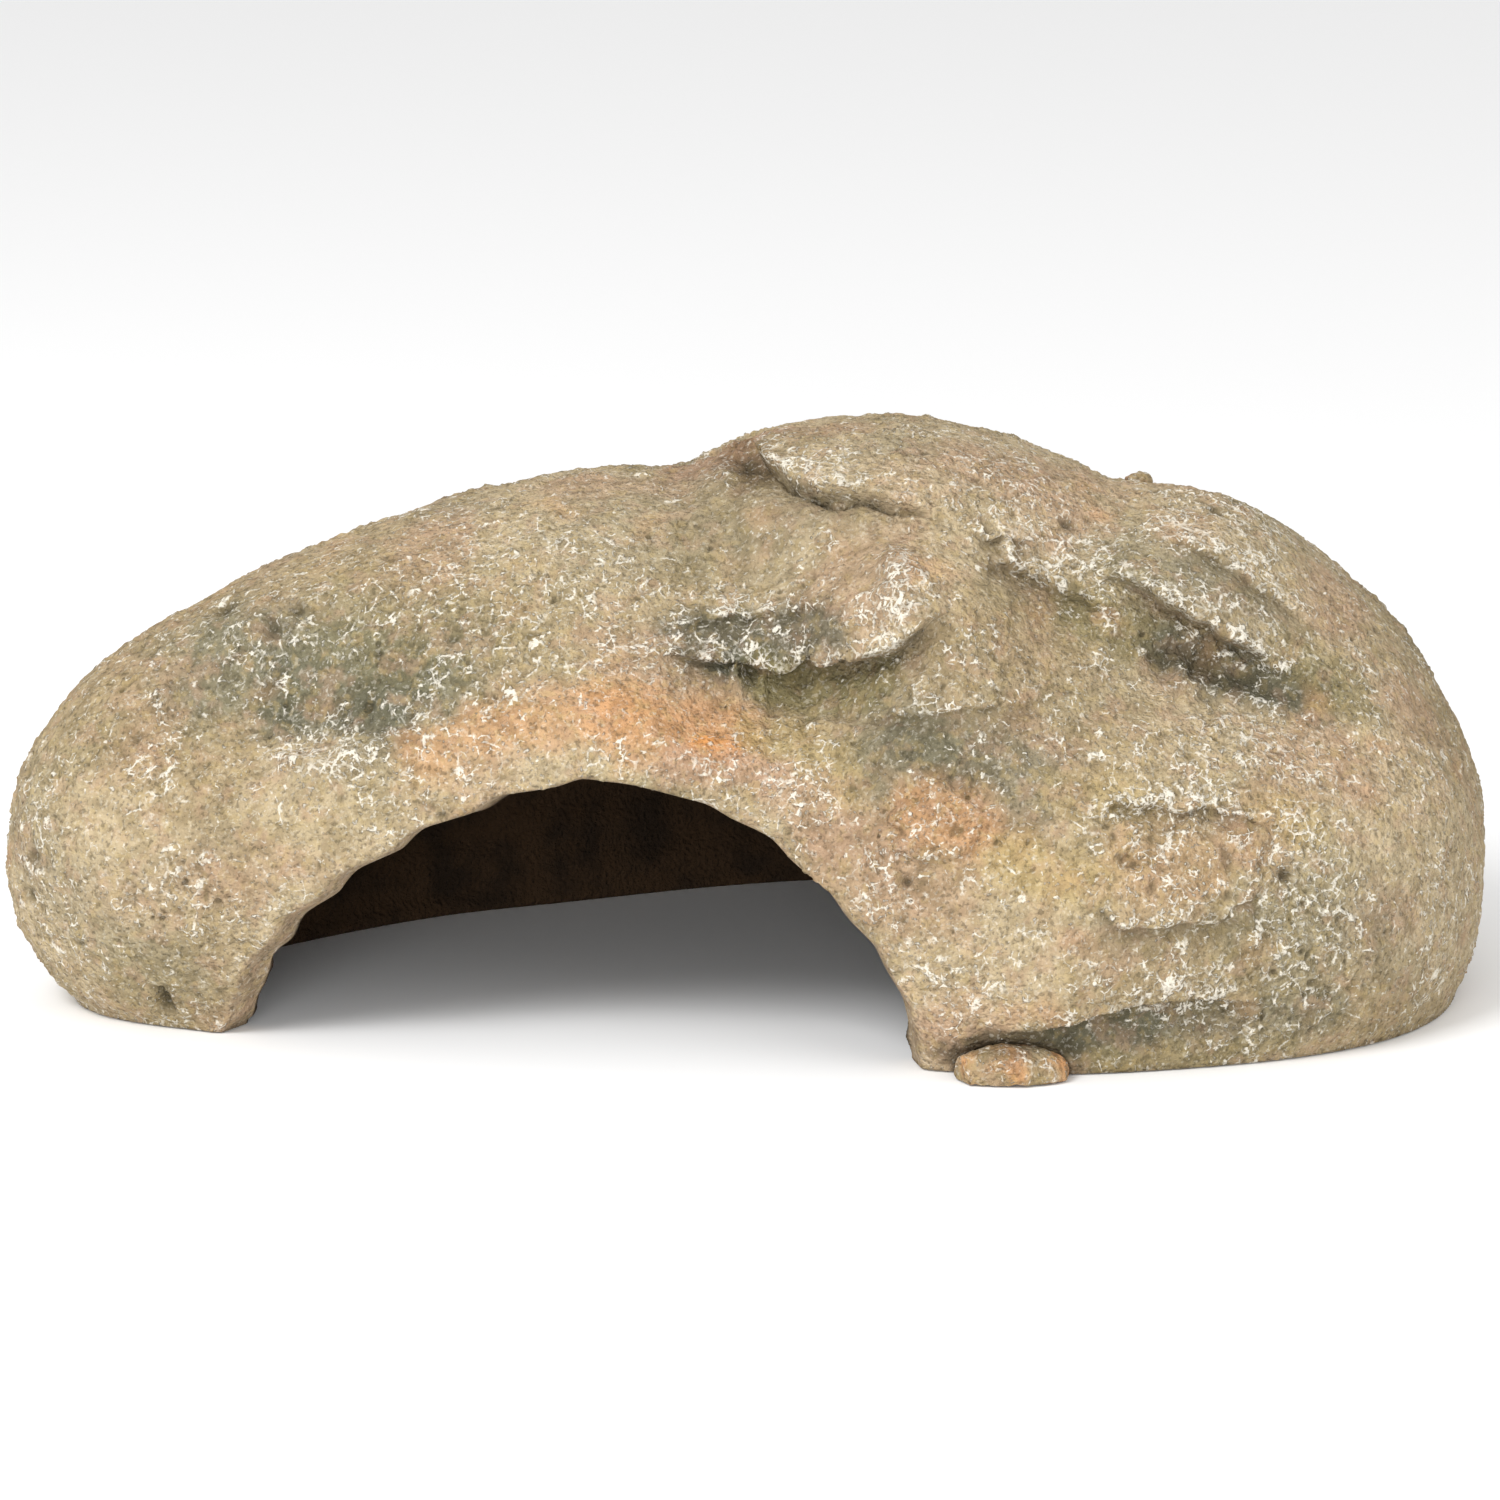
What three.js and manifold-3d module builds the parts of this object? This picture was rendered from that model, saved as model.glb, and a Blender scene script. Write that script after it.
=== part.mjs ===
// A hollow cave ornament for a terrarium or aquarium: a boulder-shaped shell cast in resin, with one arched
// mouth at the front and no floor, which stands on its rim. Two small stones sit in it: one at the foot of
// the mouth's right side and one on the crest.
// Millimetres, +Z up, X along the length, the mouth towards -Y, and the origin at the middle of the
// underside of its bounding box.
import * as THREE from "three";
import { mergeVertices } from "three/addons/utils/BufferGeometryUtils.js";
import Module from "manifold-3d";

const wasm = await Module();
wasm.setup();

// Overall size.
const LENGTH = 170;
const DEPTH = 100;
const HEIGHT = 65;

// Casting.
const WALL = 4;
const ROOF_EXTRA = 1.5; // how much thicker the roof is than the sides
const THINNEST_WALL = 2.5; // behind a hollow
const GAP = 0.3; // round each stone in its socket

// How finely each skin is cut: subdivisions of an icosahedron.
const OUTER_DETAIL = 17;
const INNER_DETAIL = 14;
const STONE_DETAIL = 2;

// The skins are found along rays from a point inside every boulder's reach. The rays are spread as if from
// the middle of a long low ellipsoid, so that the facets come out even.
const CORE = new THREE.Vector3(0, 1, 12);
const RAY_SPREAD = new THREE.Vector3(85, 50, 42);
const REACH = 130;
const BISECTIONS = 30;

// The boulders that make up the outside: centre, half-lengths of the axes, turn about Z and tilt about Y in
// degrees, and how softly each melts into those before it. The cavity follows these alone.
const BOULDERS = [
  { name: "left_boulder", at: [-45, -6, 20], half: [37, 22, 29.5], turn: 14, tilt: -11, blend: 0 },
  { name: "left_foot", at: [-60, -13, 18], half: [18, 18, 18.5], turn: 10, tilt: 0, blend: 8 },
  { name: "arch_crown", at: [-13, 0, 14], half: [48, 37, 46], turn: 16, tilt: -6, blend: 14 },
  { name: "back_bulk", at: [16, 16, 14], half: [42, 34, 36], turn: 10, tilt: 0, blend: 12 },
  { name: "crest", at: [18, -1, 26], half: [36, 33.5, 34], turn: 0, tilt: 4, blend: 9 },
  { name: "right_boulder", at: [46, 6, 16], half: [36.5, 43, 40.5], turn: 0, tilt: 10, blend: 9 },
  { name: "front_mass", at: [37, -19, 12], half: [38, 28, 28], turn: 6, tilt: 0, blend: 12 },
  { name: "right_toe", at: [62, -5, 14], half: [23.5, 30, 28.5], turn: 0, tilt: 0, blend: 12 },
];

// Raised forms that stand on the boulders, described in the same way.
const RELIEF = [
  { name: "shoulder", at: [49, -6, 42], half: [17, 18, 17], turn: 0, tilt: 18, blend: 7 },
  { name: "spur", at: [21, -24, 32], half: [11, 13, 23], turn: 0, tilt: 0, blend: 12 },
  { name: "brow_left", at: [-42, -25, 25], half: [16, 8, 8], turn: 0, tilt: -20, blend: 7 },
  { name: "brow_top", at: [-12, -28, 32], half: [22, 9, 7], turn: -6, tilt: 0, blend: 7 },
  { name: "top_slab", at: [19, 0, 55], half: [25, 23, 11], turn: 0, tilt: 3, blend: 3 },
];

// Hollows pressed into all of these.
const HOLLOWS = [
  { name: "left_hollow", at: [-53, -33, 42], half: [14, 11, 10], turn: 0, tilt: -6, blend: 6 },
  { name: "brow_hollow", at: [6, -38, 42], half: [12, 11, 5.5], turn: 0, tilt: -8, blend: 4 },
  { name: "right_valley", at: [52, -38, 44], half: [26, 11, 5], turn: 8, tilt: 22, blend: 6 },
  { name: "base_groove", at: [50, -51, 4], half: [22, 8, 5], turn: 6, tilt: 0, blend: 3 },
  { name: "back_valley", at: [-4, 53, 38], half: [11, 14, 30], turn: 0, tilt: 24, blend: 8 },
  { name: "back_dish", at: [46, 56, 34], half: [17, 13, 12], turn: 0, tilt: -10, blend: 7 },
  { name: "left_back_dish", at: [-46, 33, 34], half: [18, 13, 10], turn: 26, tilt: -8, blend: 8 },
];

// The mouth: an arch of two unequal halves in an upright plane, which is turned so that its right side
// stands nearer the front. It narrows inwards.
const MOUTH_TURN = -12;
const MOUTH_LEFT = -48;
const MOUTH_RIGHT = 30;
const MOUTH_CROWN = -8;
const MOUTH_HEIGHT = 32;
const MOUTH_LEFT_POWER = 1.5;
const MOUTH_RIGHT_POWER = 1.7;
const MOUTH_SEGMENTS = 14;
const MOUTH_FACE = -38; // where the mouth has its stated width, measured towards the back
const MOUTH_FRONT = -70;
const MOUTH_BACK = -5;
const MOUTH_FLARE = 0.012; // share of its width that the mouth loses for each millimetre inwards

function placed(list) {
  return list.map(({ at, half, turn, tilt, blend }) => {
    const angles = new THREE.Euler(0, THREE.MathUtils.degToRad(tilt), THREE.MathUtils.degToRad(turn), "ZYX");
    return {
      centre: new THREE.Vector3(...at),
      half: new THREE.Vector3(...half),
      unturn: new THREE.Matrix4().makeRotationFromEuler(angles).transpose(),
      blend,
    };
  });
}

const boulders = placed(BOULDERS);
const relief = placed(RELIEF);
const hollows = placed(HOLLOWS);

// Distance from a point to an ellipsoid's surface, negative inside and close to true near the surface.
function ellipsoidDistance(point, { centre, half, unturn }) {
  const scaled = point.clone().sub(centre).applyMatrix4(unturn).divide(half);
  const size = scaled.length();
  const slope = scaled.divide(half).length();
  return (size * (size - 1)) / Math.max(slope, 1e-9);
}

// The lesser of two distances, rounded off where they are nearly equal.
function smoothMin(a, b, blend) {
  const overlap = blend > 0 ? Math.max(blend - Math.abs(a - b), 0) / blend : 0;
  return Math.min(a, b) - (overlap * overlap * blend) / 4;
}

function unionAt(point, forms, start) {
  return forms.reduce((near, form) => smoothMin(near, ellipsoidDistance(point, form), form.blend), start);
}

function outsideAt(point) {
  const raised = unionAt(point, relief, unionAt(point, boulders, REACH));
  return -unionAt(point, hollows, -raised);
}

function insideAt(point) {
  const wall = WALL + ROOF_EXTRA * THREE.MathUtils.smoothstep(point.z, HEIGHT / 3, HEIGHT);
  return Math.max(unionAt(point, boulders, REACH) + wall, outsideAt(point) + THINNEST_WALL);
}

// An icosphere of unit radius with its shared vertices merged.
function unitBall(detail) {
  const ball = new THREE.IcosahedronGeometry(1, detail);
  ball.deleteAttribute("normal");
  ball.deleteAttribute("uv");
  return mergeVertices(ball, 1e-6);
}

// How far out from the core, along a heading, the field turns positive.
function skinDistance(fieldAt, heading) {
  const probe = new THREE.Vector3();
  let near = 0;
  let far = REACH;
  for (let step = 0; step < BISECTIONS; step++) {
    const middle = (near + far) / 2;
    if (fieldAt(probe.copy(CORE).addScaledVector(heading, middle)) < 0) near = middle;
    else far = middle;
  }
  return near;
}

// The closed skin round the core on which the field is zero.
function castSkin(fieldAt, detail) {
  const skin = unitBall(detail);
  const position = skin.getAttribute("position");
  const vertex = new THREE.Vector3();
  for (let i = 0; i < position.count; i++) {
    vertex.fromBufferAttribute(position, i).multiply(RAY_SPREAD).normalize();
    vertex.multiplyScalar(skinDistance(fieldAt, vertex)).add(CORE);
    position.setXYZ(i, vertex.x, vertex.y, vertex.z);
  }
  return skin;
}

function solidOf(geometry) {
  const bare = new THREE.BufferGeometry();
  bare.setAttribute("position", (geometry.index ? geometry.toNonIndexed() : geometry).getAttribute("position"));
  const merged = mergeVertices(bare, 1e-4);
  return new wasm.Manifold(
    new wasm.Mesh({
      numProp: 3,
      vertProperties: merged.getAttribute("position").array,
      triVerts: new Uint32Array(merged.index.array),
    }),
  );
}

function geometryOf(solid) {
  const mesh = solid.getMesh();
  const geometry = new THREE.BufferGeometry();
  geometry.setAttribute("position", new THREE.BufferAttribute(mesh.vertProperties, 3));
  geometry.setIndex(new THREE.BufferAttribute(mesh.triVerts, 1));
  geometry.computeVertexNormals();
  return geometry;
}

// Everything above the floor.
function aboveFloor() {
  const block = new THREE.BoxGeometry(2 * REACH, 2 * REACH, REACH);
  block.translate(0, 0, REACH / 2);
  return solidOf(block);
}

// The mouth's outline, from its left foot over the crown to its right foot, and well below the floor.
function mouthOutline() {
  const outline = new THREE.Shape();
  outline.moveTo(MOUTH_LEFT, -HEIGHT);
  for (let i = 0; i <= MOUTH_SEGMENTS; i++) {
    const swing = -Math.cos((Math.PI * i) / MOUTH_SEGMENTS);
    const reach = swing < 0 ? MOUTH_CROWN - MOUTH_LEFT : MOUTH_RIGHT - MOUTH_CROWN;
    const power = swing < 0 ? MOUTH_LEFT_POWER : MOUTH_RIGHT_POWER;
    const rise = Math.pow(1 - Math.pow(Math.abs(swing), power), 1 / power);
    outline.lineTo(MOUTH_CROWN + swing * reach, MOUTH_HEIGHT * rise);
  }
  outline.lineTo(MOUTH_RIGHT, -HEIGHT);
  return outline;
}

function mouthSolid() {
  const cutter = new THREE.ExtrudeGeometry(mouthOutline(), { depth: MOUTH_BACK - MOUTH_FRONT, bevelEnabled: false });
  cutter.rotateX(Math.PI / 2);
  cutter.translate(0, MOUTH_BACK, 0);
  const position = cutter.getAttribute("position");
  for (let i = 0; i < position.count; i++) {
    const narrowing = 1 - MOUTH_FLARE * (position.getY(i) - MOUTH_FACE);
    position.setX(i, MOUTH_CROWN + (position.getX(i) - MOUTH_CROWN) * narrowing);
  }
  cutter.rotateZ(THREE.MathUtils.degToRad(MOUTH_TURN));
  return solidOf(cutter);
}

// A small uneven stone: a ball pulled into flats by a few cross waves.
const STONE_WAVES = new THREE.Vector3(2.6, 3.1, 2.2);
const STONE_ROUGHNESS = 0.13;

function stoneSolid({ at, half, turn }, grow) {
  const stone = unitBall(STONE_DETAIL);
  const position = stone.getAttribute("position");
  const vertex = new THREE.Vector3();
  for (let i = 0; i < position.count; i++) {
    vertex.fromBufferAttribute(position, i);
    const wave = Math.sin(STONE_WAVES.x * vertex.x + STONE_WAVES.y * vertex.y) * Math.cos(STONE_WAVES.z * vertex.z);
    vertex.multiplyScalar(1 + STONE_ROUGHNESS * wave);
    position.setXYZ(i, vertex.x * (half[0] + grow), vertex.y * (half[1] + grow), vertex.z * (half[2] + grow));
  }
  stone.rotateZ(THREE.MathUtils.degToRad(turn));
  stone.translate(...at);
  return solidOf(stone).intersect(aboveFloor());
}

const STONES = {
  foot_stone: { at: [30.5, -46, 0.8], half: [6.6, 4, 3.2], turn: 5 },
  crest_pebble: { at: [47, 3, 58.4], half: [1.8, 1.6, 1.3], turn: 30 },
};

function shellSolid() {
  let shell = solidOf(castSkin(outsideAt, OUTER_DETAIL)).intersect(aboveFloor());
  shell = shell.subtract(solidOf(castSkin(insideAt, INNER_DETAIL))).subtract(mouthSolid());
  for (const stone of Object.values(STONES)) shell = shell.subtract(stoneSolid(stone, GAP));
  return shell;
}

const shellResin = new THREE.MeshStandardMaterial({ color: 0xb19a79, roughness: 0.85, metalness: 0 });
const stoneResin = new THREE.MeshStandardMaterial({ color: 0xb88f6f, roughness: 0.85, metalness: 0 });

const part = new THREE.Group();

function add(name, solid, material) {
  const mesh = new THREE.Mesh(geometryOf(solid), material);
  mesh.name = name;
  part.add(mesh);
}

add("cave_shell", shellSolid(), shellResin);
for (const [name, stone] of Object.entries(STONES)) add(name, stoneSolid(stone, 0), stoneResin);

// The whole is brought to its stated size and stood on the origin.
const box = new THREE.Box3().setFromObject(part);
const size = box.getSize(new THREE.Vector3());
const middle = box.getCenter(new THREE.Vector3());
part.scale.set(LENGTH / size.x, DEPTH / size.y, HEIGHT / size.z);
part.position.set(-middle.x, -middle.y, -box.min.z).multiply(part.scale);

export default part;
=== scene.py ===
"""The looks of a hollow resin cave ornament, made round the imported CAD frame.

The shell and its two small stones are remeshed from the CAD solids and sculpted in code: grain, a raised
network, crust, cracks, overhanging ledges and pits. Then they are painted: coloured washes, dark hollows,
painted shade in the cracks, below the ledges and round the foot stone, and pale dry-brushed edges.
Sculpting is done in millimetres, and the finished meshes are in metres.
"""
import math

import bmesh
import bpy
import numpy as np
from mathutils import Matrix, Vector
from mathutils.bvhtree import BVHTree


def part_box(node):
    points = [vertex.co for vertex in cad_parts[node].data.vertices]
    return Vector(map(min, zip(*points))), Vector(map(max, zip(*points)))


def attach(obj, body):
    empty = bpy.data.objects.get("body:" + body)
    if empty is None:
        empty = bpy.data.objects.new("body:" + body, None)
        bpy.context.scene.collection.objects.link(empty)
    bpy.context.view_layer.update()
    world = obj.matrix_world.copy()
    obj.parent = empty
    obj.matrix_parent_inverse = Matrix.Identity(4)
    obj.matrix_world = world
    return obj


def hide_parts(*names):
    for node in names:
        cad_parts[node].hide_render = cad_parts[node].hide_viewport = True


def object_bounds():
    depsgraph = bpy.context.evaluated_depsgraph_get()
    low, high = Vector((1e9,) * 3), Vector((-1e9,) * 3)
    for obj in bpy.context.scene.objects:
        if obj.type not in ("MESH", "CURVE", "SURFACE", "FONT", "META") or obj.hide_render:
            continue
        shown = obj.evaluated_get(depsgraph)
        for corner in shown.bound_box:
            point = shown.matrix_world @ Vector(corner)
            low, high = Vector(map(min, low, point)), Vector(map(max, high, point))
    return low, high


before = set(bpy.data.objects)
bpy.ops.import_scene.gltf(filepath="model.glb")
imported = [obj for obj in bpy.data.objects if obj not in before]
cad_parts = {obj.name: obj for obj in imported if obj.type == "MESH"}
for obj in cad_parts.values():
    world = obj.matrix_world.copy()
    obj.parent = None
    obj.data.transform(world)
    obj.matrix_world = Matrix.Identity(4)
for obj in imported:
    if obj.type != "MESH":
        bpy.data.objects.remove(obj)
cad_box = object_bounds()

MM = 0.001
BOX_LOW = np.array(cad_box[0]) / MM
BOX_HIGH = np.array(cad_box[1]) / MM
BOX_MIDDLE = (BOX_LOW + BOX_HIGH) / 2
BOX_SIZE = BOX_HIGH - BOX_LOW

# A point low in the cavity. The shell's outside faces away from it, and its inside faces back at it.
CORE = np.array([BOX_MIDDLE[0], BOX_MIDDLE[1], BOX_LOW[2] + 0.2 * BOX_SIZE[2]])

FACES_OUT = (0.1, 0.45)  # how far away from the core the outside faces, from none of it to all
FACES_IN = (-0.62, -0.4)  # and the same for the inside, from all of it to none

# Mesh fineness in millimetres, and the passes that round off the CAD facets.
SHELL_VOXEL = 0.3
STONE_VOXEL = 0.2
SHELL_ROUNDING = 80
STONE_ROUNDING = 12
FRONT = -1  # the way along Y in which each side of the shell faces
BACK = 1
RIM_HEIGHT = 0.5  # below this the rim is flat on the floor
RIM_CALM = 3.0  # height over which the relief grows to its full strength
RIM_RELIEF = 0.2  # share of the relief left at the rim
CUT_RELIEF = 0.15  # share of the relief left on the mouth's cut edge and inside
WELD = 0.001  # corners of the CAD mesh closer than this are one

# The grain all over: size and height of each layer of noise, in millimetres.
GRAIN = [(14.0, 0.5), (6.0, 0.22), (2.6, 0.2), (1.3, 0.23), (0.75, 0.2)]
FINEST_SWELL = 4.0  # layers smaller than this count as relief, which the paint follows
CALM = 0.45  # share of the fine relief left in the calmest places
CALM_SIZE = 11.0
NET_SIZE = 1.5  # cells of the raised network that the pale paint catches
NET_HEIGHT = 0.26
NET_WARP = 0.5
NET_LINE = (0.04, 0.26)  # from a line's middle to its edge, in cell sizes
NET_GAP_SIZE = 2.4
PORE_DEPTH = 0.4
PORE_RIM = (0.1, 0.36)  # from a pore's middle to its edge, in cell sizes
PORE_SPREAD = 2.0
FLAKE_SIZE = 2.6
STONE_CUTS = 16  # planes that cut each small stone angular
STONE_CUT_SHARE = 0.84  # how far out each plane lies
STONE_CUT_RANGE = 1.2  # how far down the planes reach: 1 is the waist and 2 the underside
STONE_CUT_VARIES = 0.12  # how much the planes differ in how far out they lie
STONE_GRAIN = 0.7
STONE_DUST = 0.3
STONE_SHADE = 0.7  # painted shade on top of the foot stone, under the shell
STONE_SHADE_DEPTH = (1.4, 0.3)  # how far below its top that painted shade starts and is full

# Paints, as they look on screen (sRGB, 0 to 255).
PAINTS = {
    "beige": (184, 166, 134),
    "tan": (160, 141, 108),
    "pink": (176, 144, 118),
    "orange": (200, 150, 104),
    "amber": (212, 146, 80),
    "ochre": (178, 156, 106),
    "olive": (136, 126, 88),
    "grey": (122, 118, 96),
    "slate": (92, 92, 76),
    # painted shade in the notch at the slab's left end
    "notch_shade_brown": (112, 86, 58),
    "reveal": (164, 143, 116),
    "dust": (232, 226, 212),
    # dark wash in the hollows, also used as painted shade in cracks, below ledges and round the foot stone
    "wash_and_shade": (62, 57, 41),
    "interior": (60, 43, 26),
    "soot": (40, 29, 18),
}

# The paint in the material. Sizes are in millimetres, and strengths are from 0 to 1.
MOTTLE_SIZE = 1.8
MOTTLE = 0.36
TINTS = [("pink", 2.8, (0.5, 0.66), 0.35), ("ochre", 1.3, (0.52, 0.64), 0.3)]  # paint, size, fade, strength
CREVICE = 0.7
PORE_SIZE = 0.6
PORES = 0.6
DARKEST = 0.78
PALE_GRAIN_SIZE = 0.5
PALE_GRAIN = 0.18
FLECKS = 0.8
INTERIOR_PATCH = 7.0
ROUGHNESS = 0.8
ROUGHNESS_VARIES = 0.12
SHINE = 0.2
BUMP_SIZE = 0.6
FLECK_SIZES = (2.1, 1.3)  # cells whose edges carry the dry-brushed flecks
FLECK_LINE = (0.07, 0.02)  # from a fleck's edge to its middle, in cell sizes
FLECK_RAGGED = 0.4
HIGH_SPOTS = (-0.15, 0.1)  # relief from which the dry brush catches
# For the flecks, the network and the grains: how much dusting adds, and noise over which they come in.
FLECK_REACH = (0.34, 0.62, 0.72)
NETWORK_REACH = (0.4, 0.62, 0.74)
GRAIN_REACH = (0.22, 0.68, 0.78)

# Places are (across, up): across is -1 at the left end and 1 at the right, up is 0 at the rim and 1 at the
# crest. A stroke is: kind, places that it runs through from left to right, width and depth in millimetres.
# A crack is a groove, a ledge overhangs what lies below it, and a fold stands proud. Each is darkened with
# painted shade: inside a crack, on the ground below a ledge and at the foot of a fold.
FRONT_STROKES = {
    "slab_edge": ("ledge", [(0.05, 1.0), (0.01, 0.96), (0.07, 0.93), (0.27, 0.88)], 7.0, 2.2),
    "slab_crack": ("crack", [(0.02, 0.95), (0.1, 0.92), (0.27, 0.88)], 0.9, 1.5),
    "slab_notch": ("crack", [(-0.03, 0.99), (0.01, 0.95)], 3.2, 1.3),
    "slab_step": ("ledge", [(0.28, 0.87), (0.33, 0.85), (0.38, 0.84)], 2.4, 0.7),
    "upper_lip": ("ledge", [(0.3, 0.84), (0.38, 0.79), (0.49, 0.73)], 4.0, 1.5),
    "valley_lip": ("ledge", [(0.43, 0.8), (0.56, 0.74), (0.63, 0.7), (0.73, 0.6)], 5.5, 2.6),
    "valley_floor": ("crack", [(0.5, 0.7), (0.6, 0.64), (0.75, 0.58)], 4.5, 1.3),
    "valley_sill": ("fold", [(0.53, 0.67), (0.6, 0.62), (0.73, 0.56)], 2.2, 0.9),
    "shoulder_lip": ("ledge", [(0.53, 0.85), (0.65, 0.78), (0.76, 0.68)], 4.0, 0.6),
    "brow_lip": ("ledge", [(-0.12, 0.71), (0.0, 0.74), (0.13, 0.76)], 2.4, 0.7),
    "brow_shelf": ("ledge", [(-0.12, 0.68), (-0.04, 0.66), (0.02, 0.65)], 3.0, 1.4),
    "brow_notch": ("crack", [(-0.02, 0.64), (0.02, 0.64)], 1.4, 1.0),
    "brow_fold": ("ledge", [(-0.03, 0.65), (0.08, 0.68), (0.18, 0.7), (0.26, 0.76)], 5.5, 2.7),
    "fold_ridge": ("fold", [(0.18, 0.87), (0.2, 0.8), (0.21, 0.73)], 4.0, 1.5),
    "hollow_sill": ("fold", [(-0.66, 0.5), (-0.55, 0.48), (-0.43, 0.56)], 2.6, 1.1),
    "grey_step": ("ledge", [(0.1, 0.58), (0.22, 0.6), (0.4, 0.61)], 2.6, 0.45),
    "crust_top": ("ledge", [(0.42, 0.42), (0.5, 0.46), (0.6, 0.44), (0.7, 0.4)], 3.0, 0.6),
    "crust_foot": ("ledge", [(0.42, 0.33), (0.47, 0.26), (0.6, 0.27), (0.68, 0.32)], 2.6, 0.45),
    "toe_notch": ("crack", [(-0.78, 0.09), (-0.77, 0.02)], 1.2, 1.3),
    "groove": ("ledge", [(0.32, 0.07), (0.42, 0.11), (0.52, 0.14), (0.7, 0.11)], 3.2, 1.3),
}
BACK_STROKES = {
    "long_ledge": ("ledge", [(-0.78, 0.3), (-0.5, 0.48), (-0.15, 0.62), (0.12, 0.84)], 6.0, 2.2),
    "tall_fold": ("fold", [(0.3, 0.92), (0.42, 0.7), (0.46, 0.45)], 6.0, 1.8),
    "low_shelf": ("ledge", [(0.0, 0.22), (0.35, 0.34), (0.8, 0.36)], 5.0, 1.7),
    "heel_groove": ("ledge", [(-0.62, 0.08), (-0.4, 0.15), (-0.05, 0.1)], 3.0, 1.2),
}
STROKE_STEPS = 60
CORNER_ROUNDING = 20  # passes that round off a stroke's bends
LINE_LUMPS = 7.0  # how many times a stroke strays on its way
STROKE_REACH = 3.0  # how far a stroke's effect is worked out, in widths
SIDE_BLEND = 0.3  # how softly a ledge's two sides meet, in millimetres
LIP_SHARE = 0.35  # width of a ledge's lip, as a share of the stroke's
LEDGE_RISE = 0.5  # how far a ledge rises uphill, as a share of how far it drops below
CRACK_DUST = 0.3  # painted shade and pale dust that each kind of stroke leaves
FOLD_SHADE = 0.3
FOLD_DUST = 0.7
LEDGE_SHADE = 0.75
LEDGE_DUST = 0.8
WANDER = 1.1  # how far a stroke strays from its line, in millimetres
LEAN = 0.45  # how far a ledge hangs over, as a share of its depth
END_SHARE = 0.28  # share of a stroke over which each end fades out

# Small pits on the front: across, up, radius in millimetres.
PITS = [
    (-0.7, 0.71, 1.2), (-0.63, 0.69, 1.3), (-0.6, 0.72, 0.9), (-0.5, 0.58, 0.8), (-0.95, 0.3, 1.0),
    (-0.96, 0.22, 0.9), (0.42, 0.86, 0.9), (0.62, 0.87, 0.9), (0.69, 0.33, 0.9), (0.2, 0.33, 0.7),
]
PIT_DEPTH = 0.9

# The mouth's left foot: its bottom corner is rounded, and a small nub stands on the rear of its edge.
FOOT_CORNER = (-0.64, 3.5)  # across, and the rounding's radius in millimetres
FOOT_REACH = 12.0
NUB = (-0.645, -0.27, 0.13)  # shares of half the length, of the depth and of the height
NUB_RADIUS = 1.5
NUB_HEIGHT = 1.4

# The rough ledges inside: their height in millimetres, and how much finer they are upwards than along.
INNER_LEDGES = 1.0
INNER_STRETCH = np.array([0.25, 0.25, 1.0])

FOOT_CRACK = 1.5  # how far the painted shade of the crack reaches from the foot stone, in millimetres
FOOT_EDGE = (0.85, 1.15)  # where that painted shade fades out, 1 being its full reach

# Plates of rough crust on the front: across, up, half-width and half-height in millimetres.
CRUSTS = [(0.56, 0.35, 11, 7), (0.24, 0.43, 6, 5)]
CRUST_RISE = 0.8
CRUST_HEIGHT = 0.7
REGION_EDGE = (0.45, 1.25)  # where a region fades out, 1 being its stated half-width

# Where the front is dry-brushed most: across, up, half-width and half-height in millimetres, strength.
DUSTY_PLACES = [
    (-0.02, 0.72, 10, 4, 0.5), (0.19, 0.77, 5, 8, 0.45), (0.35, 0.9, 10, 6, 0.35), (0.42, 0.8, 9, 4, 0.5),
    (0.62, 0.85, 11, 6, 0.55), (0.62, 0.7, 9, 4, 0.5), (0.55, 0.43, 11, 3, 0.6), (0.7, 0.3, 10, 9, 0.5),
    (0.6, 0.5, 16, 4, 0.4), (0.56, 0.13, 9, 3, 0.7), (0.15, 0.25, 4, 9, 0.4), (0.06, 0.5, 6, 6, 0.45),
    (-0.52, 0.5, 12, 3, 0.45), (-0.62, 0.7, 9, 5, 0.3), (-0.25, 0.75, 22, 7, 0.35), (0.3, 0.17, 8, 4, 0.4),
]

BACK_DUSTY_PLACES = [
    (-0.2, 0.66, 14, 5, 0.45), (0.4, 0.6, 7, 12, 0.4), (0.5, 0.38, 15, 4, 0.45), (-0.65, 0.45, 10, 6, 0.35),
]
MOST_DUST = 0.75
LEAST_DUST = 0.1
PATCHY_DUST = 0.24  # more dust in patches all over
CRUST_DUST = 0.2
STROKE_DUST = 0.7
WASH_AND_SHADE_HIDE_DUST = 0.5
DUST_HEIGHT = 1.6  # how much taller than stated a dusty place fades out

# The wash all over: paint, size of its patches in millimetres, noise over which it fades in, strength.
WASH_PATCHES = [
    ("tan", 24, (-0.3, 0.5), 0.8),
    ("olive", 17, (0.0, 0.7), 0.35),
    ("pink", 12, (0.0, 0.6), 0.5),
    ("grey", 15, (0.1, 0.8), 0.35),
]
SPECKS = 0.3  # strength of the orange specks

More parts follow.
